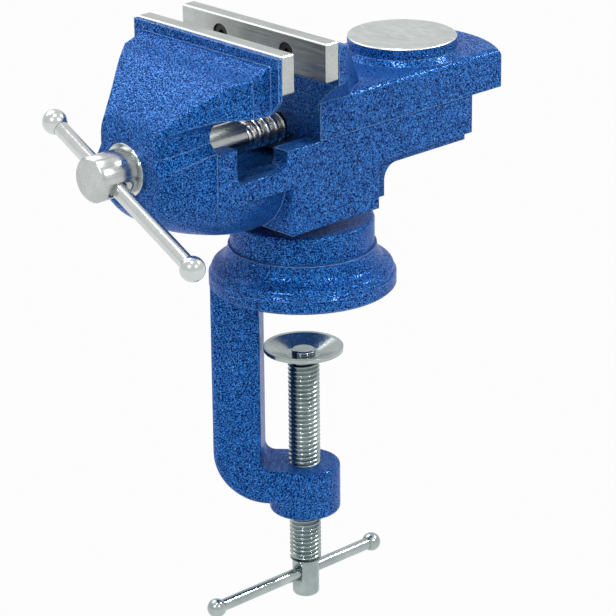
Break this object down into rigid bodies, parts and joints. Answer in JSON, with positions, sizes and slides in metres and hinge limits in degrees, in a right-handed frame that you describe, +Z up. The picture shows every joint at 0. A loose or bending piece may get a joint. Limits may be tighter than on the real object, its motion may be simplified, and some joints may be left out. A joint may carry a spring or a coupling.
{
  "type": "clamp-on swivel bench vise",
  "caption": "Small clamp-on bench vise: swivelling head with sliding jaw, round anvil, cross-bar screw, lock lever and C-clamp base with a dished pad.",
  "frame": {"origin": "swivel axis where it meets the flat underside of the clamp flange", "axes": "+Z up along the swivel axis, +Y from the handle end to the anvil end, +X to the right of a user at the handle"},
  "size_m": [0.0924, 0.187, 0.2302],
  "materials": {
    "blue_paint": "hammertone",
    "jaw_steel": "ground",
    "chrome_plate": "polished",
    "zinc_plate": "zinc plated",
    "screw_steel": "oiled",
    "black_screws": "blackened",
    "brass": "satin",
    "nut_iron": "machined"
  },
  "bodies": {
    "base": {"clamp_frame": "blue_paint", "swivel_post": "screw_steel"},
    "pad": {"clamp_pad": "zinc_plate"},
    "clamp_screw_body": {"clamp_screw": "zinc_plate"},
    "clamp_bar_body": {"clamp_bar": "zinc_plate", "clamp_bar_balls": "zinc_plate"},
    "head": {"vise_body": "blue_paint", "front_jaw_plate": "jaw_steel", "front_plate_screws": "black_screws", "lock_shoe": "brass", "spindle_pin": "screw_steel"},
    "jaw": {"sliding_jaw": "blue_paint", "rear_jaw_plate": "jaw_steel", "rear_plate_screws": "black_screws", "lead_nut": "nut_iron", "keeper_plate": "screw_steel", "keeper_screws": "black_screws"},
    "spindle": {"main_screw": "chrome_plate", "spindle_washer": "chrome_plate"},
    "main_bar_body": {"main_bar": "chrome_plate", "main_bar_balls": "chrome_plate"},
    "lever": {"lock_screw": "zinc_plate", "lock_lever": "zinc_plate"}
  },
  "joints": [
    {"name": "swivel", "type": "hinge", "parent": "base", "child": "head", "pos_m": [0, 0, 0.0158], "axis": [0, 0, 1], "continuous": true},
    {"name": "jaw_slide", "type": "slide", "parent": "head", "child": "jaw", "axis": [0, 1, 0], "range_m": [-0.0147, 0.045]},
    {"name": "spindle_turn", "type": "hinge", "parent": "head", "child": "spindle", "pos_m": [0, -0.09, 0.0632], "axis": [0, 1, 0], "range_deg": [-4060, 1330]},
    {"name": "main_bar_slide", "type": "slide", "parent": "spindle", "child": "main_bar_body", "axis": [0.891, 0, -0.454], "range_m": [-0.0368, 0.0172]},
    {"name": "lock_turn", "type": "hinge", "parent": "head", "child": "lever", "pos_m": [-0.03, 0, 0.0336], "axis": [-1, 0, 0], "range_deg": [-40, 31]},
    {"name": "clamp_lift", "type": "slide", "parent": "base", "child": "pad", "axis": [0, 0, 1], "range_m": [-0.038, 0.0225]},
    {"name": "clamp_turn", "type": "hinge", "parent": "pad", "child": "clamp_screw_body", "pos_m": [0, 0, -0.08], "axis": [0, 0, 1], "range_deg": [-7830, 4640]},
    {"name": "clamp_bar_slide", "type": "slide", "parent": "clamp_screw_body", "child": "clamp_bar_body", "axis": [0, 1, 0], "range_m": [-0.0268, 0.0374]}
  ],
  "couplings": [
    {"joint": "spindle_turn", "follows": "jaw_slide", "rad_per_m": -1570.8},
    {"joint": "clamp_turn", "follows": "clamp_lift", "rad_per_m": 3590.4}
  ]
}
